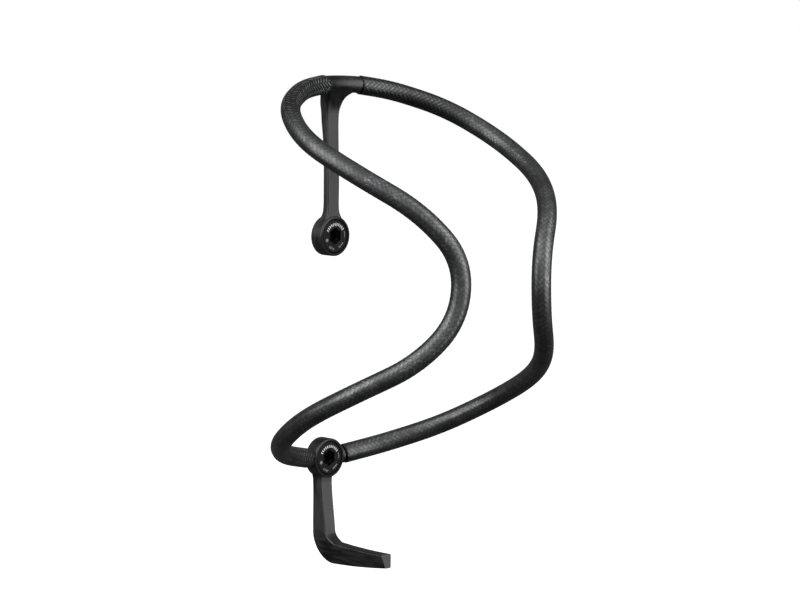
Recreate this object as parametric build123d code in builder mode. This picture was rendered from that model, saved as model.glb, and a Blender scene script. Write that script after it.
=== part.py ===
from build123d import *
import math
import os

# Tubular carbon water bottle cage: two bent tubes wrap the bottle, two moulded brackets join their
# ends, and two bolts hold the brackets to the bosses of a bicycle frame.
#
# Millimetres. The bottle is on the -Y side, the bicycle frame on the +Y side, and +Z is up.
# The origin is midway between the two bolt holes, in the plane where the eyes rest on the frame.

# ---- driving dimensions ----
BOLT_SPACING = 64.0          # between the two bolt holes, the bicycle standard
EYE_RADIUS = 5.7             # round eye that each bolt goes through
EYE_DEPTH = 4.15             # from the frame face of an eye to its bottle face
EYE_EDGE = 0.45              # rounding of an eye's front rim
BOLT_HOLE_RADIUS = 2.75
POCKET_RADIUS = 4.95         # pocket for the bolt's head
POCKET_FLOOR = 2.5           # distance of that pocket's floor from the frame face
BRACKET_EDGE = 0.45          # rounding of the brackets' long edges

TUBE_RADIUS = 2.72
BORE_RADIUS = 1.75           # inside of a tube
BOND_FILM = 0.1              # adhesive between a spigot and the tube's bore
SPIGOT_RADIUS = BORE_RADIUS - BOND_FILM
SPIGOT_LENGTH = 9.0
SPIGOT_ROOT = 1.2            # how far a spigot reaches back into its bracket
SEAM = 0.3                   # gap between a bracket's shoulder and the end of its tube
BEND_FILL = 0.48             # share of the shorter run beside a corner that the bend takes up

BAR_RADIUS = 2.4             # cross bar of the upper bracket
BAR_MIDDLE = (0, -4.35, 75.4)  # on its axis, where it crosses the mirror plane
COLLAR_RADIUS = 2.55         # short collars of the lower bracket
COLLAR_LENGTH = 4.5

BOLT_RADIUS = 2.5            # M5 thread, from the frame face to the tip
BOLT_LENGTH = 6.0            # under the head
NECK_RADIUS = 2.2            # where the thread runs out under the head
BOLT_CHAMFER = 0.5
HEAD_RADIUS = 4.8
HEAD_HEIGHT = 1.55
HEAD_EDGE = 0.35
DRIVE_LOBES = 6
DRIVE_FIRST_LOBE = 30        # degrees from level
DRIVE_DEPTH = 1.4
DRIVE_ROOT_RADIUS = 1.85
DRIVE_LOBE_RADIUS = 0.62
DRIVE_LOBE_CENTRE = 1.66
WELL_RADIUS = 1.5            # plain well below the drive
WELL_DEPTH = 2.4

UPPER_EYE = BOLT_SPACING / 2
LOWER_EYE = -BOLT_SPACING / 2

# Corners of the right tube's centreline, from the upper bracket round the bottle to the lower one.
TUBE_CORNERS = [
    (6.9, -4.9, 75.2),
    (17.2, -7.5, 73.9),
    (31.2, -16.1, 69.2),
    (38.2, -30.7, 60.8),
    (34.7, -49.5, 52.0),
    (25.5, -62.7, 43.6),
    (15.3, -69.4, 31.0),
    (16.2, -69.3, 14.8),
    (25.4, -63.2, 3.0),
    (35.2, -50.2, -5.4),
    (38.0, -33.4, -14.1),
    (31.9, -16.9, -23.4),
    (19.6, -5.9, -29.1),
    (7.2, -2.0, -31.6),
]
FROM_TOP = TUBE_CORNERS
FROM_BOTTOM = TUBE_CORNERS[::-1]

# Sections through the strut and the flare above it: height, half width, and the distances of the
# back and the front from the frame face.
STRUT_SECTIONS = [
    (35.2, 4.5, 0.25, 3.75),
    (36.2, 3.8, 0.3, 3.6),
    (37.0, 3.15, 0.45, 3.55),
    (37.8, 2.65, 0.6, 3.45),
    (38.8, 2.3, 0.7, 3.3),
    (40.4, 2.17, 0.75, 3.15),
    (45.0, 2.2, 0.7, 3.0),
    (54.0, 2.18, 0.35, 2.6),
    (60.5, 2.2, -0.25, 2.2),
    (65.5, 2.25, -0.95, 2.0),
    (68.0, 2.45, -1.05, 2.1),
    (69.6, 2.8, -1.0, 2.5),
    (71.0, 3.2, -0.6, 3.1),
    (72.2, 4.0, 0.2, 4.0),
    (73.3, 5.3, 1.5, 5.1),
    (74.2, 6.4, 3.0, 6.0),
]

# Sections through the neck under the lower eye, the leg, the bend and the foot. Each lies in a plane
# that turns about the inside of the bend: the plane's distance in front of the frame face and its
# height, its turn from level, how far below it the bottle side and the outer side lie, and the half
# widths of those two sides.
BEND_FORWARD = 8.4
BEND_HEIGHT = -53.2
NECK_SECTIONS = [
    (BEND_FORWARD, -35.4, 0, 5.0, 8.3, 4.3, 4.3),
    (BEND_FORWARD, -36.4, 0, 5.1, 8.35, 3.05, 3.6),
    (BEND_FORWARD, -37.2, 0, 5.2, 8.35, 2.45, 3.25),
    (BEND_FORWARD, -38.0, 0, 5.25, 8.35, 2.2, 3.05),
    (BEND_FORWARD, -39.2, 0, 5.25, 8.35, 2.16, 2.9),
]
LEG_SECTIONS = [
    NECK_SECTIONS[-1],
    (BEND_FORWARD, -42.5, 0, 4.85, 8.35, 2.14, 2.68),
    (BEND_FORWARD, -47.5, 0, 4.0, 8.37, 2.1, 2.5),
    (BEND_FORWARD, BEND_HEIGHT, 0, 3.1, 8.4, 2.1, 2.25),
]
BEND_SECTIONS = [
    LEG_SECTIONS[-1],
    (BEND_FORWARD, BEND_HEIGHT, 30, 2.6, 8.65, 2.05, 1.9),
    (BEND_FORWARD, BEND_HEIGHT, 60, 2.35, 9.0, 2.0, 1.4),
    (BEND_FORWARD, BEND_HEIGHT, 90, 2.75, 8.9, 2.0, 1.05),
]
FOOT_SECTIONS = [
    BEND_SECTIONS[-1],
    (18.0, BEND_HEIGHT, 90, 3.12, 8.25, 1.95, 1.0),
    (27.35, BEND_HEIGHT, 105, 3.15, 7.15, 1.95, 1.05),
]

os.makedirs("parts", exist_ok=True)


# ---- routes ----
def bend_radii(corners):
    """Radius at each inner corner, as large as the runs beside it allow."""
    points = [Vector(corner) for corner in corners]
    radii = []
    for before, corner, after in zip(points, points[1:], points[2:]):
        first_run, second_run = corner - before, after - corner
        half_turn = math.radians(first_run.get_angle(second_run)) / 2
        shorter_run = min(first_run.length, second_run.length)
        radii.append(BEND_FILL * shorter_run / math.tan(half_turn))
    return radii


def tube_route(corners):
    """Centreline of a whole tube: straight runs joined by tangent arcs."""
    with BuildLine() as route:
        FilletPolyline(*corners, radius=bend_radii(corners))
    return route.wire()


def socket_route(corners, lead=0.0):
    """Centreline of the stretch that a spigot fills, with a straight lead before the tube's end."""
    start = Vector(corners[0])
    straight, bend = tube_route(corners).edges().sort_by_distance(start)[0:2]
    ahead = (Vector(corners[1]) - start).normalized()
    with BuildLine() as stretch:
        Line(start - ahead * lead, bend @ 0)
        add(bend.trim(0, (SPIGOT_LENGTH - straight.length) / bend.length))
    return stretch.wire()


def shoulder(corners, setback, side=1):
    """Point on a tube's axis, a little way out of its end; side -1 gives the left tube's."""
    start = Vector(corners[0])
    ahead = (Vector(corners[1]) - start).normalized()
    point = start - ahead * setback
    return (side * point.X, point.Y, point.Z)


def across(route):
    """Plane square to the start of a route."""
    return Plane(origin=route @ 0, z_dir=route % 0)


# ---- shapes that both brackets use ----
def eye_disc(height):
    """Solid disc of an eye, rounded at its front rim."""
    with BuildPart() as disc:
        with BuildSketch(Plane.XZ):
            with Locations((0, height)):
                Circle(EYE_RADIUS)
        extrude(amount=EYE_DEPTH)
        fillet(disc.edges().sort_by(Axis.Y)[0], EYE_EDGE)
    return disc.part


def right_spigot(corners):
    """Rod that a bracket pushes into the right tube."""
    route = socket_route(corners, lead=SPIGOT_ROOT)
    with BuildPart() as spigot:
        add(route)
        with BuildSketch(across(route)):
            Circle(SPIGOT_RADIUS)
        sweep()
    return spigot.part


def bolt_pocket(height):
    """Room for a bolt: a through hole and a flat-bottomed pocket for its head."""
    with BuildPart() as pocket:
        with BuildSketch(Plane.XZ.offset(POCKET_FLOOR)):
            with Locations((0, height)):
                Circle(POCKET_RADIUS)
        extrude(amount=EYE_DEPTH)
        with BuildSketch(Plane.XZ):
            with Locations((0, height)):
                Circle(BOLT_HOLE_RADIUS)
        extrude(amount=EYE_DEPTH, both=True)
    return pocket.part


# ---- arm tubes ----
right_route = tube_route(TUBE_CORNERS)

with BuildPart() as right_arm_tube:
    add(right_route)
    with BuildSketch(across(right_route)):
        Circle(TUBE_RADIUS)
        Circle(BORE_RADIUS, mode=Mode.SUBTRACT)
    sweep()

with BuildPart() as left_arm_tube:
    mirror(right_arm_tube.part, about=Plane.YZ)

right_arm_tube.part.label = "right_arm_tube"
export_step(right_arm_tube.part, "parts/right_arm_tube.step")
left_arm_tube.part.label = "left_arm_tube"
export_step(left_arm_tube.part, "parts/left_arm_tube.step")


# ---- upper bracket: eye, strut with its flare, cross bar and two spigots ----
with BuildPart() as strut:
    for height, half_width, back, front in STRUT_SECTIONS:
        with BuildSketch(Plane.XY.offset(height)):
            with Locations((0, -(back + front) / 2)):
                RectangleRounded(2 * half_width, front - back, BRACKET_EDGE)
    loft()

with BuildPart() as cross_bar:
    with BuildLine():
        bar_line = ThreePointArc(shoulder(FROM_TOP, SEAM, side=-1), BAR_MIDDLE, shoulder(FROM_TOP, SEAM))
    with BuildSketch(across(bar_line)):
        Circle(BAR_RADIUS)
    sweep()

upper_spigot = right_spigot(FROM_TOP)

with BuildPart() as upper_bracket:
    add(eye_disc(UPPER_EYE))
    add(strut.part)
    add(cross_bar.part)
    add(upper_spigot)
    mirror(upper_spigot, about=Plane.YZ)
    add(bolt_pocket(UPPER_EYE), mode=Mode.SUBTRACT)

upper_bracket.part.label = "upper_bracket"
export_step(upper_bracket.part, "parts/upper_bracket.step")


# ---- lower bracket: eye, leg, foot, two collars and two spigots ----
def lofted(sections):
    """Solid through the sections of a stretch of the leg or the foot."""
    with BuildPart() as stretch:
        for forward, height, turn, near, far, near_half_width, far_half_width in sections:
            down = (0, -math.sin(math.radians(turn)), -math.cos(math.radians(turn)))
            with BuildSketch(Plane(origin=(0, -forward, height), x_dir=(1, 0, 0), z_dir=down)) as section:
                with BuildLine():
                    Polyline((near_half_width, -near), (far_half_width, -far), (-far_half_width, -far),
                             (-near_half_width, -near), close=True)
                make_face()
                fillet(section.vertices(), BRACKET_EDGE)
        loft()
    return stretch.part


with BuildPart() as leg:
    add(lofted(NECK_SECTIONS))
    add(lofted(LEG_SECTIONS))
    add(lofted(BEND_SECTIONS))
    add(lofted(FOOT_SECTIONS))

with BuildPart() as right_collar:
    with BuildLine():
        collar_line = Line(shoulder(FROM_BOTTOM, COLLAR_LENGTH), shoulder(FROM_BOTTOM, SEAM))
    with BuildSketch(across(collar_line)):
        Circle(COLLAR_RADIUS)
    sweep()
    split(bisect_by=Plane.XZ, keep=Keep.TOP)

lower_spigot = right_spigot(FROM_BOTTOM)

with BuildPart() as lower_bracket:
    add(eye_disc(LOWER_EYE))
    add(leg.part)
    add(right_collar.part)
    mirror(right_collar.part, about=Plane.YZ)
    add(lower_spigot)
    mirror(lower_spigot, about=Plane.YZ)
    add(bolt_pocket(LOWER_EYE), mode=Mode.SUBTRACT)

lower_bracket.part.label = "lower_bracket"
export_step(lower_bracket.part, "parts/lower_bracket.step")


# ---- bonds: the film of adhesive round each spigot ----
def right_bond(corners):
    """Thin sleeve between a spigot and the bore of the right tube."""
    route = socket_route(corners)
    with BuildPart() as bond:
        add(route)
        with BuildSketch(across(route)):
            Circle(BORE_RADIUS)
            Circle(SPIGOT_RADIUS, mode=Mode.SUBTRACT)
        sweep()
    return bond.part


with BuildPart() as upper_right_bond:
    add(right_bond(FROM_TOP))

upper_right_bond.part.label = "upper_right_bond"
export_step(upper_right_bond.part, "parts/upper_right_bond.step")

with BuildPart() as upper_left_bond:
    mirror(upper_right_bond.part, about=Plane.YZ)

upper_left_bond.part.label = "upper_left_bond"
export_step(upper_left_bond.part, "parts/upper_left_bond.step")

with BuildPart() as lower_right_bond:
    add(right_bond(FROM_BOTTOM))

lower_right_bond.part.label = "lower_right_bond"
export_step(lower_right_bond.part, "parts/lower_right_bond.step")

with BuildPart() as lower_left_bond:
    mirror(lower_right_bond.part, about=Plane.YZ)

lower_left_bond.part.label = "lower_left_bond"
export_step(lower_left_bond.part, "parts/lower_left_bond.step")


# ---- bolts: low-headed, with a six-lobed drive ----
def bolt(height):
    """Bolt seated in the pocket of the eye at this height."""
    with BuildPart() as screw:
        with BuildSketch(Plane.XZ.offset(POCKET_FLOOR)):
            with Locations((0, height)):
                Circle(HEAD_RADIUS)
        extrude(amount=HEAD_HEIGHT)
        fillet(screw.edges().sort_by(Axis.Y)[0], HEAD_EDGE)
        with BuildSketch(Plane.XZ.offset(POCKET_FLOOR)):
            with Locations((0, height)):
                Circle(NECK_RADIUS)
        extrude(amount=-POCKET_FLOOR)
        with BuildSketch(Plane.XZ):
            with Locations((0, height)):
                Circle(BOLT_RADIUS)
        extrude(amount=POCKET_FLOOR - BOLT_LENGTH)
        chamfer(screw.edges().sort_by(Axis.Y)[-1], BOLT_CHAMFER)
        with BuildSketch(Plane.XZ.offset(POCKET_FLOOR + HEAD_HEIGHT)):
            with Locations((0, height)):
                Circle(DRIVE_ROOT_RADIUS)
                with PolarLocations(DRIVE_LOBE_CENTRE, DRIVE_LOBES, start_angle=DRIVE_FIRST_LOBE):
                    Circle(DRIVE_LOBE_RADIUS)
        extrude(amount=-DRIVE_DEPTH, mode=Mode.SUBTRACT)
        with BuildSketch(Plane.XZ.offset(POCKET_FLOOR + HEAD_HEIGHT)):
            with Locations((0, height)):
                Circle(WELL_RADIUS)
        extrude(amount=-WELL_DEPTH, mode=Mode.SUBTRACT)
    return screw.part


with BuildPart() as upper_bolt:
    add(bolt(UPPER_EYE))

upper_bolt.part.label = "upper_bolt"
export_step(upper_bolt.part, "parts/upper_bolt.step")

with BuildPart() as lower_bolt:
    add(bolt(LOWER_EYE))

lower_bolt.part.label = "lower_bolt"
export_step(lower_bolt.part, "parts/lower_bolt.step")
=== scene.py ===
import math

import bpy
import numpy as np
from mathutils import Matrix, Vector


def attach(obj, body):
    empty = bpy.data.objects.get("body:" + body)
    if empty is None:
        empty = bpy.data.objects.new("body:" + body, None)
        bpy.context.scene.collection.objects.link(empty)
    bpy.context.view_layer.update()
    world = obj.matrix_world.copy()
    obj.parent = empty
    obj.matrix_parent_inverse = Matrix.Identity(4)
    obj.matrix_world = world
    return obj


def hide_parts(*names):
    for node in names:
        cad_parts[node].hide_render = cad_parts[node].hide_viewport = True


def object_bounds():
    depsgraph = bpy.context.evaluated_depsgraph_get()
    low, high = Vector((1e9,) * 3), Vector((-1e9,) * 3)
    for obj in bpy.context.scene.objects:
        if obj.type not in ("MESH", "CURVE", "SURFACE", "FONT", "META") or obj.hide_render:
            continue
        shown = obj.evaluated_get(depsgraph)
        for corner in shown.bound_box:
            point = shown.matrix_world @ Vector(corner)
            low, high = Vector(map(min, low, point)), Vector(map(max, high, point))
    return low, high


# A tubular carbon bottle cage: two braided tubes, two moulded brackets and two black bolts.
# Metres. The bottle is on the -Y side, the bicycle frame on the +Y side, and +Z is up.

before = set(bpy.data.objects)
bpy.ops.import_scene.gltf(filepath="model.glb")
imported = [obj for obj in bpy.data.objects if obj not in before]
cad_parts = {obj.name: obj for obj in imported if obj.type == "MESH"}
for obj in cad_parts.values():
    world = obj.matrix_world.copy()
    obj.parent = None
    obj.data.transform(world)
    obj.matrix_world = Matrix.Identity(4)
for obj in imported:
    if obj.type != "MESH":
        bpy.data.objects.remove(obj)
cad_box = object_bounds()

MM = 0.001

# ---- sizes that the CAD model also has ----
TUBE_CORNERS = MM * np.array([
    (6.9, -4.9, 75.2),
    (17.2, -7.5, 73.9),
    (31.2, -16.1, 69.2),
    (38.2, -30.7, 60.8),
    (34.7, -49.5, 52.0),
    (25.5, -62.7, 43.6),
    (15.3, -69.4, 31.0),
    (16.2, -69.3, 14.8),
    (25.4, -63.2, 3.0),
    (35.2, -50.2, -5.4),
    (38.0, -33.4, -14.1),
    (31.9, -16.9, -23.4),
    (19.6, -5.9, -29.1),
    (7.2, -2.0, -31.6),
])
BEND_FILL = 0.48            # share of the shorter run beside a corner that the bend takes up
TUBE_RADIUS = 2.72 * MM
BORE_RADIUS = 1.75 * MM
EYE_HEIGHTS = {"upper_bolt": 32.0 * MM, "lower_bolt": -32.0 * MM}
HEAD_SEAT = -2.5 * MM       # y of the underside of a bolt's head
HEAD_FACE = -4.05 * MM      # y of its front
HEAD_RADIUS = 4.8 * MM
HEAD_EDGE = 0.35 * MM
DRIVE_DEPTH = 1.4 * MM
DRIVE_LOBES = 6
DRIVE_FIRST_LOBE = 30       # degrees from level
WELL_RADIUS = 1.5 * MM      # plain well below the drive
WELL_DEPTH = 2.4 * MM
NECK_RADIUS = 2.2 * MM
BOLT_RADIUS = 2.5 * MM
BOLT_TIP = 3.5 * MM
TIP_CHAMFER = 0.5 * MM

# ---- the bolts' fine shape ----
DRIVE_MIDDLE = 2.06 * MM    # mean radius of the drive's outline
DRIVE_WAVE = 0.18 * MM      # how far its lobes stand out from that
RECESS_RADIUS = 1.9 * MM    # painted shade: the drive is darkened and fully rough inside this radius, below this level
RECESS_SHADE = HEAD_FACE + 0.1 * MM
NECK_END = -0.15 * MM       # y where the thread's run-out begins
THREAD_PITCH = 0.8 * MM
THREAD_DEPTH = 0.42 * MM
THREAD_RUNOUT = 0.4 * MM    # over this length the neck grows to the thread's full size
THREAD_STEP = 0.05 * MM     # between rings of points
BOLT_POINTS = 96            # points in each ring
SMALL_EDGE = 0.08 * MM      # height of the small bevels inside the drive

# ---- the braid ----
TOWS = 12                   # tows of each hand round a tube
TOW_PITCH = 2 * math.pi * TUBE_RADIUS / TOWS   # along the tube as well, so the tows lie at 45 degrees
RELIEF = 0.04 * MM          # from the dips between tows to the crown of a tow
SAMPLES_PER_TOW = 6
TUBE_SWELL = 0.1 * MM       # a tube's radius grows by this toward its lower end; the CAD tube's doesn't
SWELL_LENGTH = 60 * MM
BORE_STEP = 2.0 * MM        # between rings of the bore
END_ROUND = 0.22 * MM       # rounding of a tube's outer rim
END_RAGGED = 0.16 * MM      # how far the cut braid steps back from its end
ARC_POINTS = 40             # points along each bend before the route is spaced evenly
EASING_REACH = 8            # route points over which a bend's curvature changes

BARE_AT_TOP = (14.0, 30.0)  # over these distances from a tube's ends, in tows, the coat thickens
BARE_AT_BOTTOM = (9.0, 18.0)
# strength of the painted shade on the coat near a tube's upper end
TOP_PAINTED_SHADE = 0.7
SEAM_SHADE_REACH = (0.15, 0.5)     # painted shade: the dark ring where a tube's end meets its bracket fades over these distances, in tows
SEAM_SHADE_RAGGED = 1.4            # how far the resin's grain moves that ring
HAND_OFFSET = 0.37          # keeps the shades of left-hand tows apart from right-hand ones
FIBRES_ACROSS = 9.0         # stretch of the fibre noise across a tow,
FIBRES_ALONG = 0.9          # along it,
FIBRES_APART = 5.3          # and from one tow to the next
FIBRE_TINT = 0.02           # a little blue
FIBRE_TWIST = 0.05          # turns by which the fibres of one float differ from another's
RIGHT_HAND_TURN = 0.125     # turns from the way round the tube to the fibres of each hand
LEFT_HAND_TURN = 0.375

# ---- the grain of the materials, in noise cells for each metre ----
BRAID_CLOUDS = 130.0
RESIN_GRAIN = 900.0
GLINT_FLECK_GRAIN = 1900.0
STREAKS_ACROSS = 900.0
STREAKS_ALONG = 120.0
MOULDING_PATCHES = 160.0
SKIN_GRAIN = 5200.0
GLUE_CLOUDS = 700.0
GLUE_BUBBLES = 2600.0
BOLT_CLOUDS = 420.0
BOLT_GRAIN = 3800.0

# ---- where the mouldings change ----
FOOT_TOP = -54.0 * MM       # the flow streaks run upright above here and along the foot below
FOOT_BLEND = 4 * MM
RIM_RADIUS = 5.72 * MM      # painted shade darkens an eye's front rim, and makes it fully rough, inside this radius low down,
RIM_FLAT_RADIUS = 5.3 * MM  # and inside this one, where its rounding starts, high up
RIM_CHANGE = (-1 * MM, 2 * MM)  # heights over the eye's middle between which the radius changes
RIM_FRONT = -3.75 * MM      # the painted shade ends between these two places
RIM_BACK = -3.45 * MM


# ---- materials ----
class Graph:
    """A material's node tree, with a short call for each kind of node."""

    def __init__(self, name):
        self.material = bpy.data.materials.new(name)
        self.material.use_nodes = True
        self.tree = self.material.node_tree
        self.tree.nodes.clear()

    def node(self, kind, settings=None, **inputs):
        """A node of this kind. Keyword arguments fill its inputs, with _ for a blank."""
        made = self.tree.nodes.new(kind)
        for key, value in (settings or {}).items():
            setattr(made, key, value)
        for key, value in inputs.items():
            self.fill(made.inputs[key.replace("_", " ")], value)
        return made

    def fill(self, socket, value):
        if isinstance(value, bpy.types.NodeSocket):
            self.tree.links.new(value, socket)
        else:
            socket.default_value = value

    def math(self, operation, *values, clamp=False):
        """One step of arithmetic. clamp keeps the result between 0 and 1."""
        made = self.tree.nodes.new("ShaderNodeMath")
        made.operation = operation
        made.use_clamp = clamp
        for socket, value in zip(made.inputs, values):
            self.fill(socket, value)
        return made.outputs[0]

    def add(self, first, second):
        return self.math("ADD", first, second)

    def subtract(self, first, second):
        return self.math("SUBTRACT", first, second)

    def multiply(self, first, second):
        return self.math("MULTIPLY", first, second)

    def greatest(self, first, second):
        return self.math("MAXIMUM", first, second)

    def above(self, first, second):
        """1 where first is more than second, and 0 elsewhere."""
        return self.math("GREATER_THAN", first, second)

    def below(self, first, second):
        """1 where first is less than second, and 0 elsewhere."""
        return self.math("LESS_THAN", first, second)

    def remainder(self, value, divisor):
        return self.math("FLOORED_MODULO", value, divisor)

    def length(self, first, second):
        """How long a vector with these two components is."""
        squares = [self.multiply(value, value) for value in (first, second)]
        return self.math("SQRT", self.add(*squares))

    def mix(self, share, first, second):
        """A number that goes from first to second as share goes from 0 to 1."""
        made = self.node("ShaderNodeMix", Factor=share)
        self.fill(made.inputs[2], first)
        self.fill(made.inputs[3], second)
        return made.outputs[0]

    def mix_colour(self, share, first, second):
        """A colour that goes from first to second as share goes from 0 to 1."""
        made = self.node("ShaderNodeMix", {"data_type": "RGBA"})
        self.fill(made.inputs[0], share)
        self.fill(made.inputs[6], first)
        self.fill(made.inputs[7], second)
        return made.outputs[2]

    def ramp(self, value, low, high, out_low=0.0, out_high=1.0):
        """value from low..high to out_low..out_high, smoothly, and held at the ends."""
        made = self.node(
            "ShaderNodeMapRange", {"interpolation_type": "SMOOTHSTEP"},
            Value=value, From_Min=low, From_Max=high, To_Min=out_low, To_Max=out_high,
        )
        return made.outputs[0]

    def noise(self, where, scale, detail=2.0, roughness=0.5, distortion=0.0):
        made = self.node(
            "ShaderNodeTexNoise", Vector=where, Scale=scale, Detail=detail, Roughness=roughness,
            Distortion=distortion,
        )
        return made.outputs["Fac"]

    def vector(self, x, y, z):
        return self.node("ShaderNodeCombineXYZ", X=x, Y=y, Z=z).outputs[0]

    def stretched(self, where, scale):
        """Coordinates scaled differently along X, Y and Z, for streaks."""
        return self.node("ShaderNodeMapping", Vector=where, Scale=scale).outputs[0]

    def object_place(self):
        return self.node("ShaderNodeTexCoord").outputs["Object"]

    def bump(self, height, strength, distance):
        return self.node("ShaderNodeBump", Strength=strength, Distance=distance, Height=height).outputs[0]

    def separated(self, vector):
        """The three parts of a vector."""
        return self.node("ShaderNodeSeparateXYZ", Vector=vector).outputs

    def finish(self, **inputs):
        """The material, with these inputs of its shader filled."""
        shader = self.node("ShaderNodeBsdfPrincipled", **inputs)
        output = self.node("ShaderNodeOutputMaterial")
        self.tree.links.new(shader.outputs[0], output.inputs[0])
        return self.material


def grey(level, tint=0.0):
    """A grey, a little blue for a positive tint."""
    return (level * (1 - tint), level, level * (1 + tint), 1.0)


def braided_carbon(name, length, bare_top, bare_bottom, plain):
    """Clear-coated twill braid. The UV map counts tows round the tube and along it, up to length.

    The coat is thin near the tube's two ends, so the braid, with a painted highlight line on each
    float, stands out more there: bare_top and bare_bottom say how much, from 0 to 1. A painted shade
    darkens the coat near the upper end. plain says how strongly the braid's relief and the
    direction of its fibres show.
    """
    graph = Graph(name)
    uv = graph.node("ShaderNodeUVMap", {"uv_map": "braid"})
    round_tube, along_tube, _ = graph.separated(uv.outputs[0])
    right_hand = graph.subtract(round_tube, along_tube)
    left_hand = graph.add(round_tube, along_tube)
    right_index = graph.math("FLOOR", right_hand)
    left_index = graph.math("FLOOR", left_hand)
    right_part = graph.math("FRACT", right_hand)
    left_part = graph.math("FRACT", left_hand)

    # A 2/2 twill: each tow floats over two of the other hand and then dives under two.
    step = graph.remainder(graph.add(right_index, left_index), 4.0)
    left_on_top = graph.above(step, 1.5)
    second_half = graph.remainder(step, 2.0)
    across = graph.mix(left_on_top, right_part, left_part)
    along = graph.add(graph.mix(left_on_top, left_part, right_part), second_half)
    index = graph.mix(left_on_top, right_index, graph.add(left_index, HAND_OFFSET))
    off_crown = graph.math("ABSOLUTE", graph.subtract(across, 0.5))
    edge = graph.ramp(off_crown, 0.30, 0.5)
    off_middle = graph.math("ABSOLUTE", graph.subtract(along, 1.0))
    dive = graph.ramp(off_middle, 0.60, 1.0)
    gap = graph.greatest(edge, graph.multiply(dive, 0.9))

    # Every float of every tow has its own shade, because its fibres lie a little differently.
    crossed = graph.mix(
        left_on_top,
        graph.subtract(left_index, second_half),
        graph.subtract(right_index, second_half),
    )
    float_place = graph.vector(index, crossed, left_on_top)
    white_noise = graph.node("ShaderNodeTexWhiteNoise", {"noise_dimensions": "3D"}, Vector=float_place)
    shade = white_noise.outputs["Value"]
    fibre_place = graph.vector(
        graph.multiply(across, FIBRES_ACROSS),
        graph.multiply(along, FIBRES_ALONG),
        graph.multiply(index, FIBRES_APART),
    )
    fibres = graph.noise(fibre_place, 1.6, detail=3.0, roughness=0.6)
    cloud = graph.noise(graph.object_place(), BRAID_CLOUDS, detail=3.0, roughness=0.6)
    resin = graph.noise(graph.object_place(), RESIN_GRAIN, detail=2.0)
    off_resin = graph.subtract(resin, 0.5)
    tone = graph.math(
        "ADD",
        graph.add(graph.multiply(shade, 0.55), graph.multiply(fibres, 0.45)),
        graph.multiply(graph.subtract(cloud, 0.5), 1.3),
        clamp=True,
    )

    to_bottom = graph.subtract(length, along_tube)
    from_top = graph.ramp(along_tube, *BARE_AT_TOP, bare_top, 0.0)
    from_bottom = graph.ramp(to_bottom, *BARE_AT_BOTTOM, bare_bottom, 0.0)
    bare = graph.greatest(from_top, from_bottom)
    painted_top_shade = graph.ramp(along_tube, *BARE_AT_TOP, TOP_PAINTED_SHADE, 0.0)
    from_end = graph.math("MINIMUM", along_tube, to_bottom)
    # painted shade in the seam where each end of the tube meets a bracket, with a ragged edge
    seam_shade_distance = graph.add(from_end, graph.multiply(off_resin, SEAM_SHADE_RAGGED))
    painted_seam_shade = graph.ramp(seam_shade_distance, *SEAM_SHADE_REACH, 1.0, 0.0)

    # Under the coat: soft greys by tone, with a few bright flecks, painted glints, where the cloud is
    # light.
    coated = graph.mix_colour(tone, grey(0.045, FIBRE_TINT), grey(0.13, FIBRE_TINT))
    coated = graph.mix_colour(gap, coated, grey(0.045))
    glint_fleck_spots = graph.ramp(graph.noise(graph.object_place(), GLINT_FLECK_GRAIN), 0.58, 0.68)
    painted_glint_flecks = graph.multiply(glint_fleck_spots, graph.ramp(cloud, 0.48, 0.62, 0.0, 0.35))
    coated = graph.mix_colour(painted_glint_flecks, coated, grey(0.5, FIBRE_TINT))
    # painted shade: the coat is darkened near the tube's upper end
    coated = graph.mix_colour(painted_top_shade, coated, grey(0.01))

    # Bare: a painted highlight line along the crown of each float, and black between them.
    painted_glint = graph.multiply(graph.ramp(off_crown, 0.03, 0.16, 1.0, 0.0), tone)
    bare_with_painted_glints = graph.mix_colour(painted_glint, grey(0.008, FIBRE_TINT), grey(0.95, FIBRE_TINT))
    bare_with_painted_glints = graph.mix_colour(dive, bare_with_painted_glints, grey(0.003))
    colour = graph.mix_colour(bare, coated, bare_with_painted_glints)
    # the painted seam shade at the tube's ends
    colour = graph.mix_colour(painted_seam_shade, colour, grey(0.004))

    roughness = graph.mix(gap, 0.39, graph.mix(bare, 0.45, 0.55))
    roughness = graph.add(roughness, graph.multiply(off_resin, 0.15))
    crown = graph.subtract(1.0, graph.multiply(off_crown, graph.multiply(off_crown, 4.0)))
    rise = graph.multiply(crown, graph.subtract(1.0, dive))
    lumps = graph.add(graph.multiply(fibres, 0.35), graph.multiply(resin, 0.5))
    twist = graph.multiply(graph.subtract(shade, 0.5), FIBRE_TWIST)
    fibre_turn = graph.add(graph.mix(left_on_top, RIGHT_HAND_TURN, LEFT_HAND_TURN), twist)
    tangent = graph.node("ShaderNodeTangent", {"direction_type": "UV_MAP", "uv_map": "braid"})
    return graph.finish(
        Base_Color=colour,
        Metallic=0.85,
        Roughness=roughness,
        IOR=1.5,
        Anisotropic=0.7 * plain,
        Anisotropic_Rotation=fibre_turn,
        Tangent=tangent.outputs[0],
        Normal=graph.bump(graph.add(rise, lumps), 0.45 * plain, 0.05 * MM),
        Coat_Weight=0.45,
        Coat_Roughness=0.38,
        Coat_IOR=1.45,
    )


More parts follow.
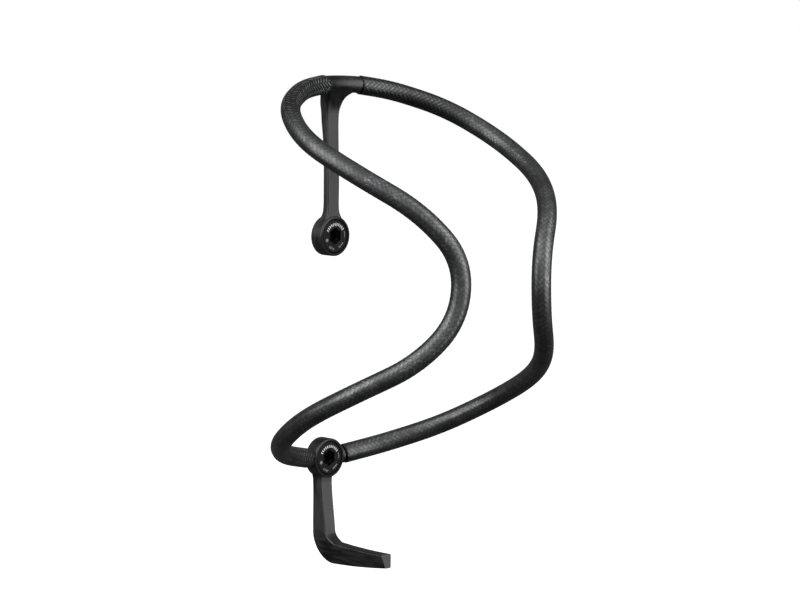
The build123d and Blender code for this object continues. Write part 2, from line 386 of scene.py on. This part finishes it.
def moulded_carbon():
    """Satin black moulding with faint flow streaks, a fine skin, and painted shade on the front rims of
    its eyes.
    """
    graph = Graph("moulded_carbon")
    place = graph.object_place()
    aside, forward, up = graph.separated(place)
    upright = graph.stretched(place, (STREAKS_ACROSS, STREAKS_ACROSS, STREAKS_ALONG))
    lengthwise = graph.stretched(place, (STREAKS_ACROSS, STREAKS_ALONG, STREAKS_ACROSS))
    on_foot = graph.ramp(up, FOOT_TOP, FOOT_TOP + FOOT_BLEND, 1.0, 0.0)
    streaks = graph.mix(
        on_foot,
        graph.noise(upright, 1.0, detail=4.0, roughness=0.6),
        graph.noise(lengthwise, 1.0, detail=4.0, roughness=0.6),
    )
    patches = graph.noise(place, MOULDING_PATCHES, detail=3.0, distortion=0.6)
    skin = graph.noise(place, SKIN_GRAIN, detail=2.0)
    tone = graph.add(graph.multiply(streaks, 0.6), graph.multiply(patches, 0.4))
    colour = graph.mix_colour(graph.ramp(tone, 0.38, 0.62), grey(0.002), grey(0.016))
    roughness = graph.ramp(tone, 0.38, 0.62, 0.28, 0.48)

    # painted shade: the front rim of each eye is darkened and made fully rough
    painted_rim_shade = 0.0
    for eye_height in EYE_HEIGHTS.values():
        over_eye = graph.subtract(up, eye_height)
        shaded_rim_radius = graph.ramp(over_eye, *RIM_CHANGE, RIM_RADIUS, RIM_FLAT_RADIUS)
        painted_rim_shade = graph.greatest(painted_rim_shade, graph.below(graph.length(aside, over_eye), shaded_rim_radius))
    painted_rim_shade = graph.multiply(painted_rim_shade, graph.ramp(forward, RIM_FRONT, RIM_BACK, 1.0, 0.0))
    height = graph.add(graph.multiply(streaks, 0.7), graph.multiply(skin, 0.5))
    return graph.finish(
        Base_Color=graph.mix_colour(painted_rim_shade, colour, grey(0.003)),
        Roughness=graph.mix(painted_rim_shade, roughness, 1.0),
        IOR=1.5,
        Specular_IOR_Level=0.5,
        Normal=graph.bump(height, 0.5, 0.04 * MM),
        Coat_Weight=0.08,
        Coat_Roughness=0.3,
    )


def adhesive():
    """Cured black epoxy with tiny bubbles."""
    graph = Graph("adhesive")
    place = graph.object_place()
    bubbles = graph.node("ShaderNodeTexVoronoi", Vector=place, Scale=GLUE_BUBBLES).outputs["Distance"]
    cloud = graph.noise(place, GLUE_CLOUDS)
    return graph.finish(
        Base_Color=graph.mix_colour(cloud, grey(0.010), grey(0.030, -0.04)),
        Roughness=graph.ramp(cloud, 0.3, 0.7, 0.28, 0.45),
        Normal=graph.bump(graph.ramp(bubbles, 0.05, 0.25), 0.4, 0.03 * MM),
    )


# Marks printed on a bolt's head: angle from level at the right, counted anticlockwise as seen from
# the bottle side; how many; the step between them; the width of one; the inner and outer radius;
# and how white the ink is. They are plain bars, with no lettering.
PRINT_BARS = [
    (32.0, 11, 11.6, 6.4, 3.05 * MM, 3.8 * MM, 0.85),
    (233.0, 4, 8.6, 3.4, 3.35 * MM, 3.95 * MM, 0.4),
    (295.0, 4, 9.0, 3.4, 3.2 * MM, 3.75 * MM, 0.5),
    (354.0, 1, 30.0, 29.0, 3.55 * MM, 3.7 * MM, 0.45),
]
DOT_ANGLE = 198.0           # a plain dot between two rows of bars
DOT_PLACE = 3.4 * MM
DOT_RADIUS = 0.5 * MM
DOT_INK = 0.3
PRINT_REACH = 0.02 * MM     # how far behind the head's front a mark can lie
TURNING_PITCH = 0.12 * MM   # of the lathe's marks
FULL_TURN = 360.0


def printed_marks(graph, x, z):
    """How white a bolt's head is printed. x and z are measured from the bolt's axis."""
    radius = graph.length(x, z)
    angle = graph.remainder(graph.math("DEGREES", graph.math("ARCTAN2", z, x)), FULL_TURN)
    ink = 0.0
    for start, count, pitch, width, inner, outer, level in PRINT_BARS:
        turned = graph.remainder(graph.subtract(angle, start), FULL_TURN)
        in_row = graph.below(turned, pitch * count)
        on_bar = graph.below(graph.remainder(turned, pitch), width)
        in_ring = graph.multiply(graph.above(radius, inner), graph.below(radius, outer))
        bars = graph.multiply(in_ring, graph.multiply(in_row, on_bar))
        ink = graph.greatest(ink, graph.multiply(bars, level))
    turn = math.radians(DOT_ANGLE)
    from_dot = graph.length(
        graph.subtract(x, DOT_PLACE * math.cos(turn)),
        graph.subtract(z, DOT_PLACE * math.sin(turn)),
    )
    dot = graph.multiply(graph.below(from_dot, DOT_RADIUS), DOT_INK)
    return graph.greatest(ink, dot)


def black_bolt(name, height):
    """Black anodised aluminium, turned, with printed marks on the head's front and painted shade deep in
    its drive.
    """
    graph = Graph(name)
    place = graph.object_place()
    x, y, up = graph.separated(place)
    z = graph.subtract(up, height)
    radius = graph.length(x, z)
    grain = graph.noise(place, BOLT_GRAIN, detail=3.0)
    cloud = graph.noise(place, BOLT_CLOUDS)

    on_front = graph.below(y, HEAD_FACE + PRINT_REACH)
    wear = graph.ramp(grain, 0.35, 0.6, 0.72, 1.0)
    ink = graph.multiply(graph.multiply(printed_marks(graph, x, z), on_front), wear)
    # painted shade deep in the drive
    painted_recess_shade = graph.multiply(graph.below(radius, RECESS_RADIUS), graph.above(y, RECESS_SHADE))
    colour = graph.mix_colour(cloud, grey(0.002), grey(0.006, 0.03))
    colour = graph.mix_colour(ink, colour, grey(0.78))
    roughness = graph.mix(ink, graph.ramp(cloud, 0.3, 0.7, 0.36, 0.46), 0.6)
    turning = graph.math("SINE", graph.multiply(radius, 2 * math.pi / TURNING_PITCH))
    surface = graph.add(graph.multiply(turning, 0.15), graph.add(grain, ink))
    return graph.finish(
        Base_Color=graph.mix_colour(painted_recess_shade, colour, grey(0.0004)),
        Metallic=0.0,
        Roughness=graph.mix(painted_recess_shade, roughness, 1.0),
        IOR=1.5,
        Specular_IOR_Level=0.12,
        Normal=graph.bump(surface, 0.25, 0.02 * MM),
    )


# ---- mesh building ----
def grid_mesh(name, rings, closed_at, turned=False, uv=None):
    """A tube-like mesh from rings of points, all with the same number of points.

    closed_at says how the two ends meet: "fan" adds a point at each end's middle, and "loop"
    joins the last ring to the first. turned flips every face. uv gives the UV place of each point
    of each ring, with one column more than the ring has points.
    """
    count, size = rings.shape[:2]
    last = count if closed_at == "loop" else count - 1
    row = np.arange(last)[:, None]
    column = np.arange(size)[None, :]
    following = (row + 1) % count
    beside = (column + 1) % size
    quads = np.stack(
        [row * size + column, row * size + beside, following * size + beside, following * size + column],
        axis=-1,
    ).reshape(-1, 4)
    faces = quads.tolist()
    points = rings.reshape(-1, 3)
    if closed_at == "fan":
        ends = [rings[0].mean(0), rings[-1].mean(0)]
        points = np.concatenate([points, ends])
        for k in range(size):
            after = (k + 1) % size
            start_fan = (count * size, after, k)
            end_fan = (count * size + 1, (count - 1) * size + k, (count - 1) * size + after)
            faces += [start_fan, end_fan]
    if turned:
        faces = [face[::-1] for face in faces]
    mesh = bpy.data.meshes.new(name)
    mesh.from_pydata(points.tolist(), [], faces)
    if uv is not None:
        corners = np.stack([
            uv[row, column],
            uv[row, column + 1],
            uv[row + 1, column + 1],
            uv[row + 1, column],
        ], axis=-2).reshape(-1, 4, 2)
        if turned:
            corners = corners[:, ::-1]
        layer = mesh.uv_layers.new(name="braid")
        layer.data.foreach_set("uv", corners.reshape(-1))
    mesh.validate()
    mesh.shade_smooth()
    piece = bpy.data.objects.new(name, mesh)
    bpy.context.scene.collection.objects.link(piece)
    return piece


def unit(vector):
    return vector / np.linalg.norm(vector)


def bent_route(corners, spacing):
    """Points at even spacing along straight runs joined by tangent arcs."""
    points = [corners[0]]
    for before, corner, after in zip(corners, corners[1:], corners[2:]):
        first, second = unit(corner - before), unit(after - corner)
        shorter = min(np.linalg.norm(corner - before), np.linalg.norm(after - corner))
        turn = math.acos(float(np.clip(first @ second, -1, 1)))
        radius = BEND_FILL * shorter / math.tan(turn / 2)
        inward = unit(second - (first @ second) * first)
        centre = corner - first * BEND_FILL * shorter + inward * radius
        for angle in np.linspace(0, turn, ARC_POINTS):
            points.append(centre + radius * (math.sin(angle) * first - math.cos(angle) * inward))
    points.append(corners[-1])
    points = np.array(points)
    travelled = np.concatenate([[0], np.cumsum(np.linalg.norm(np.diff(points, axis=0), axis=1))])
    steps = round(travelled[-1] / spacing)
    at = np.linspace(0, travelled[-1], steps + 1)
    return np.stack([np.interp(at, travelled, points[:, k]) for k in range(3)], axis=1), at


def eased(points, reach):
    """The same route with its curvature changing gradually over about reach points."""
    ahead = points[0] - points[1]
    beyond = points[-1] - points[-2]
    pad = 4 * reach
    start = points[0] + ahead * np.arange(pad, 0, -1)[:, None]
    end = points[-1] + beyond * np.arange(1, pad + 1)[:, None]
    padded = np.concatenate([start, points, end])
    weights = np.exp(-0.5 * (np.arange(-pad, pad + 1) / reach) ** 2)
    weights /= weights.sum()
    return np.stack([np.convolve(padded[:, k], weights, mode="valid") for k in range(3)], axis=1)


def carried_frames(points):
    """Two directions square to the route at each point, carried along it without twist."""
    ahead = np.gradient(points, axis=0)
    ahead /= np.linalg.norm(ahead, axis=1)[:, None]
    side = unit(np.cross(ahead[0], (0, 0, 1.0)))
    sides = []
    for direction in ahead:
        side = unit(side - (side @ direction) * direction)
        sides.append(side)
    sides = np.array(sides)
    return sides, np.cross(ahead, sides)


def braid_height(around, along):
    """Height of the braid from 0 to 1. Both places count in tows."""
    right_hand, left_hand = around - along, around + along
    step = (np.floor(right_hand) + np.floor(left_hand)) % 4
    left_on_top = step > 1.5
    right_part, left_part = right_hand % 1, left_hand % 1
    across = np.where(left_on_top, left_part, right_part)
    in_float = np.where(left_on_top, right_part, left_part) + step % 2
    crown = 1 - (2 * across - 1) ** 2
    dive = np.abs(in_float - 1) ** 3
    return np.sqrt(np.clip(crown, 0, 1)) * (1 - dive)


def braided_tube(name, mirror):
    """One arm: a hollow tube whose outside is the braid's relief under its clear coat."""
    spacing = TOW_PITCH / SAMPLES_PER_TOW
    route, travelled = bent_route(TUBE_CORNERS, spacing)
    route = eased(route, EASING_REACH)
    side, across = carried_frames(route)
    size = TOWS * SAMPLES_PER_TOW
    around = np.arange(size + 1) / SAMPLES_PER_TOW
    angle = 2 * math.pi * around[:-1] / TOWS
    outward = np.cos(angle)[None, :, None] * side[:, None] + np.sin(angle)[None, :, None] * across[:, None]
    along = travelled / TOW_PITCH
    height = braid_height(around[None, :-1], along[:, None])
    swelling = np.clip((travelled - travelled[-1]) / SWELL_LENGTH + 1, 0, 1)
    swelling = TUBE_SWELL * swelling ** 2 * (3 - 2 * swelling)
    radius = TUBE_RADIUS + swelling[:, None] - RELIEF * (1 - height)

    # The rim rounds over, and the cut tows end at slightly different places.
    from_end = np.minimum(travelled, travelled[-1] - travelled)
    inside_round = np.clip(1 - from_end / END_ROUND, 0, 1)
    drop = END_ROUND * (1 - np.sqrt(1 - inside_round ** 2))
    radius = radius - drop[:, None]
    outer = route[:, None] + radius[..., None] * outward
    ahead = np.gradient(route, axis=0)
    ahead /= np.linalg.norm(ahead, axis=1)[:, None]
    for end, way in ((0, 1), (-1, -1)):
        steps_back = END_RAGGED * (0.5 - 0.5 * np.cos(angle * TOWS / 2)) * (1 - height[end])
        outer[end] += way * steps_back[:, None] * ahead[end]

    bore_rows = np.unique(np.round(np.arange(0, len(route), BORE_STEP / spacing)).astype(int))
    bore_rows = np.append(bore_rows[bore_rows < len(route) - 4], len(route) - 1)[::-1]
    bore = route[bore_rows, None] + BORE_RADIUS * outward[bore_rows]
    rings = np.concatenate([outer, bore])
    rows = np.concatenate([along, along[bore_rows], along[:1]])
    uv = np.stack(np.broadcast_arrays(around[None, :], rows[:, None]), axis=-1)
    if mirror:
        rings = rings * (-1, 1, 1)
    return grid_mesh(name, rings, "loop", turned=not mirror, uv=uv)


def circle_ring(centre_height, y, radius, angle):
    """A ring round a bolt's axis. y and radius are numbers or one value for each angle."""
    y = np.broadcast_to(y, angle.shape)
    radius = np.broadcast_to(radius, angle.shape)
    return np.stack([radius * np.cos(angle), y, centre_height + radius * np.sin(angle)], axis=-1)


def drive_outline(angle, scale=1.0):
    """Radius of the six-lobed drive's outline at each angle."""
    wave = np.cos(DRIVE_LOBES * (angle - math.radians(DRIVE_FIRST_LOBE)))
    return scale * (DRIVE_MIDDLE + DRIVE_WAVE * wave)


def threaded_bolt(name, height):
    """Low-headed bolt with a six-lobed drive and a rolled thread.

    Its profile is a list of rings, each with its y and its radius, from the bottom of the well out
    over the head and down to the tip. A radius is one number, or one for each angle.
    """
    angle = 2 * math.pi * np.arange(BOLT_POINTS) / BOLT_POINTS
    drive_floor = HEAD_FACE + DRIVE_DEPTH
    well_floor = HEAD_FACE + WELL_DEPTH
    head_flat = HEAD_RADIUS - HEAD_EDGE

    # The well, with a drill's cone at its bottom, and the walls of the drive.
    profile = [
        (well_floor + 0.3 * MM, 0.3 * MM),
        (well_floor, WELL_RADIUS - 0.05 * MM),
        (well_floor - SMALL_EDGE, WELL_RADIUS),
        (drive_floor + SMALL_EDGE, WELL_RADIUS),
        (drive_floor, WELL_RADIUS + 0.06 * MM),
        (drive_floor, drive_outline(angle, 0.96)),
        (drive_floor - SMALL_EDGE, drive_outline(angle)),
    ]
    # The drive's mouth opens out, and its outline fades into the head's round edge.
    for depth, scale in ((0.24, 1.0), (0.13, 1.015), (0.04, 1.05), (0.0, 1.09)):
        profile.append((HEAD_FACE + depth * MM, drive_outline(angle, scale)))
    for share in (0.15, 0.4, 0.7, 0.9, 1.0):
        profile.append((HEAD_FACE, (1 - share) * drive_outline(angle, 1.1) + share * head_flat))
    for turn in np.radians((15, 35, 55, 75, 90)):
        y = HEAD_FACE + HEAD_EDGE * (1 - math.cos(turn))
        profile.append((y, HEAD_RADIUS - HEAD_EDGE * (1 - math.sin(turn))))
    # The head's side, its underside and the neck.
    profile += [
        (HEAD_SEAT - 0.12 * MM, HEAD_RADIUS),
        (HEAD_SEAT - 0.03 * MM, HEAD_RADIUS - 0.03 * MM),
        (HEAD_SEAT, HEAD_RADIUS - 0.12 * MM),
        (HEAD_SEAT, NECK_RADIUS + 0.2 * MM),
        (HEAD_SEAT + 0.06 * MM, NECK_RADIUS + 0.06 * MM),
        (HEAD_SEAT + 0.2 * MM, NECK_RADIUS),
        (NECK_END, NECK_RADIUS),
    ]
    # The thread is a groove that winds round, out of the neck and down to the chamfered tip.
    for y in np.arange(0.0, BOLT_TIP + 1e-9, THREAD_STEP):
        wave = np.abs(((y / THREAD_PITCH + angle / (2 * math.pi)) % 1) * 2 - 1)
        groove = THREAD_DEPTH * np.clip(1.15 * wave - 0.05, 0, 1)
        runout = min(1.0, y / THREAD_RUNOUT)
        threaded = NECK_RADIUS + (BOLT_RADIUS - groove - NECK_RADIUS) * runout
        chamfer = max(0.0, y - (BOLT_TIP - TIP_CHAMFER))
        profile.append((y, np.minimum(threaded, BOLT_RADIUS - chamfer)))
    rings = [circle_ring(height, y, radius, angle) for y, radius in profile]
    return grid_mesh(name, np.array(rings), "fan")


# ---- the pieces ----
def dress(piece, material, body, slot, *nodes):
    """Gives a piece its material and says which body and CAD nodes it belongs to. slot is not used."""
    piece.data.materials.clear()
    piece.data.materials.append(material)
    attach(piece, body)
    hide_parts(*nodes)


# Each arm's CAD node, whether it is mirrored, how bare its braid is at the top and the bottom,
# with its painted highlight lines, and how strongly the braid's relief and fibres show.
ARMS = [
    ("right_arm_tube", False, 0.14, 0.05, 0.18),
    ("left_arm_tube", True, 1.0, 0.5, 0.55),
]

tube_length = float(bent_route(TUBE_CORNERS, TOW_PITCH)[1][-1] / TOW_PITCH)
for node, mirror, bare_top, bare_bottom, plain in ARMS:
    arm = braided_tube("braided_" + node, mirror)
    braid = braided_carbon("braid_of_" + node, tube_length, bare_top, bare_bottom, plain)
    dress(arm, braid, "cage", "braided_carbon", node)

for node, height in EYE_HEIGHTS.items():
    bolt = threaded_bolt("threaded_" + node, height)
    dress(bolt, black_bolt("black_" + node, height), node, "black_bolt", node)

moulding = moulded_carbon()
glue = adhesive()
for node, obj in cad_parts.items():
    if node.endswith("_bracket"):
        material = moulding
    elif node.endswith("_bond"):
        material = glue
    else:
        continue
    for material_slot in obj.material_slots:
        material_slot.material = material

# ---- floor, light and camera ----
FLOOR_DROP = 0.35           # below the lowest point of the cage
FLOOR_HALF = 8.0            # half its width
low, high = cad_box


def pale_floor():
    """A plain white floor below the cage, which the cage doesn't mirror."""
    mesh = bpy.data.meshes.new("floor")
    floor_height = low.z - FLOOR_DROP
    directions = [(-1, -1), (1, -1), (1, 1), (-1, 1)]
    corners = [(x * FLOOR_HALF, y * FLOOR_HALF, floor_height) for x, y in directions]
    mesh.from_pydata(corners, [], [(0, 1, 2, 3)])
    floor = bpy.data.objects.new("floor", mesh)
    bpy.context.scene.collection.objects.link(floor)
    graph = Graph("pale_floor")
    cloud = graph.noise(graph.object_place(), 3.0)
    material = graph.finish(
        Base_Color=graph.mix_colour(cloud, grey(0.90), grey(0.93)),
        Roughness=0.9,
        Emission_Color=grey(1.0),
        Emission_Strength=1.0,
    )
    mesh.materials.append(material)
    floor.visible_diffuse = False
    floor.visible_glossy = False
    floor.visible_shadow = False


CAMERA_AZIMUTH = math.radians(-45.0)
CAMERA_ELEVATION = math.radians(5.62)
CAMERA_ROLL = math.radians(1.655)
CAMERA_DISTANCE = 0.760
CAMERA_PAN = (0.0222, 0.0133)   # to the right and up from the origin
CAMERA_LENS = 118.9             # millimetres, on a sensor this wide
SENSOR_WIDTH = 36.0

# Each softbox: its name, azimuth and elevation in degrees, distance, width, height and watts.
SOFTBOXES = [
    ("left_box", -60, 27, 1.4, 1.05, 1.7, 20),
    ("right_box", 65, 14, 1.4, 1.3, 2.0, 26),
    ("front_box", 0, 20, 1.6, 1.6, 1.8, 10),
    ("top_box", 20, 76, 1.4, 1.6, 1.2, 4.5),
]
LIGHT_FROM_BELOW = 0.05         # strength of the dim surroundings
LIGHT_FROM_ABOVE = 0.12


def camera_axes():
    """The camera's right, up and back directions."""
    level = Vector((math.sin(CAMERA_AZIMUTH), -math.cos(CAMERA_AZIMUTH), 0))
    back = math.cos(CAMERA_ELEVATION) * level + Vector((0, 0, math.sin(CAMERA_ELEVATION)))
    right = Vector((math.cos(CAMERA_AZIMUTH), math.sin(CAMERA_AZIMUTH), 0))
    up = back.cross(right)
    cosine = math.cos(CAMERA_ROLL)
    sine = math.sin(CAMERA_ROLL)
    return cosine * right + sine * up, -sine * right + cosine * up, back


def make_camera():
    right, up, back = camera_axes()
    data = bpy.data.cameras.new("camera")
    data.lens = CAMERA_LENS
    data.sensor_width = SENSOR_WIDTH
    camera = bpy.data.objects.new("camera", data)
    bpy.context.scene.collection.objects.link(camera)
    turn = Matrix((right, up, back)).transposed()
    place = right * CAMERA_PAN[0] + up * CAMERA_PAN[1] + back * CAMERA_DISTANCE
    camera.matrix_world = Matrix.Translation(place) @ turn.to_4x4()
    bpy.context.scene.camera = camera


def softbox(name, azimuth, elevation, distance, width, height, power):
    """A large area light that faces the cage.

    Azimuth 0 is at the camera, and a positive one is to its right.
    """
    right, up, back = camera_axes()
    aside = math.radians(azimuth)
    above = math.radians(elevation)
    level = math.cos(aside) * back + math.sin(aside) * right
    toward = math.cos(above) * level + math.sin(above) * up
    data = bpy.data.lights.new(name, "AREA")
    data.shape = "RECTANGLE"
    data.size = width
    data.size_y = height
    data.energy = power
    light = bpy.data.objects.new(name, data)
    bpy.context.scene.collection.objects.link(light)
    light.location = (low + high) / 2 + toward * distance
    light.rotation_euler = toward.to_track_quat("Z", "Y").to_euler()
    light.visible_camera = False


def studio_world():
    """White where the camera looks past the cage. What it lights is dim, and dimmer from below."""
    world = bpy.data.worlds.new("studio")
    bpy.context.scene.world = world
    world.use_nodes = True
    tree = world.node_tree
    tree.nodes.clear()
    place = tree.nodes.new("ShaderNodeTexCoord")
    parts = tree.nodes.new("ShaderNodeSeparateXYZ")
    height = tree.nodes.new("ShaderNodeMapRange")
    height.inputs["From Min"].default_value = -1.0
    height.inputs["From Max"].default_value = 1.0
    height.inputs["To Min"].default_value = LIGHT_FROM_BELOW
    height.inputs["To Max"].default_value = LIGHT_FROM_ABOVE
    dim = tree.nodes.new("ShaderNodeBackground")
    white = tree.nodes.new("ShaderNodeBackground")
    white.inputs["Color"].default_value = (1, 1, 1, 1)
    path = tree.nodes.new("ShaderNodeLightPath")
    mix = tree.nodes.new("ShaderNodeMixShader")
    output = tree.nodes.new("ShaderNodeOutputWorld")
    tree.links.new(place.outputs["Generated"], parts.inputs[0])
    tree.links.new(parts.outputs[2], height.inputs["Value"])
    tree.links.new(height.outputs[0], dim.inputs["Strength"])
    dim.inputs["Color"].default_value = (1, 1, 1, 1)
    tree.links.new(path.outputs["Is Camera Ray"], mix.inputs[0])
    tree.links.new(dim.outputs[0], mix.inputs[1])
    tree.links.new(white.outputs[0], mix.inputs[2])
    tree.links.new(mix.outputs[0], output.inputs[0])


pale_floor()
make_camera()
studio_world()
for settings in SOFTBOXES:
    softbox(*settings)
bpy.context.scene.view_settings.view_transform = "Standard"
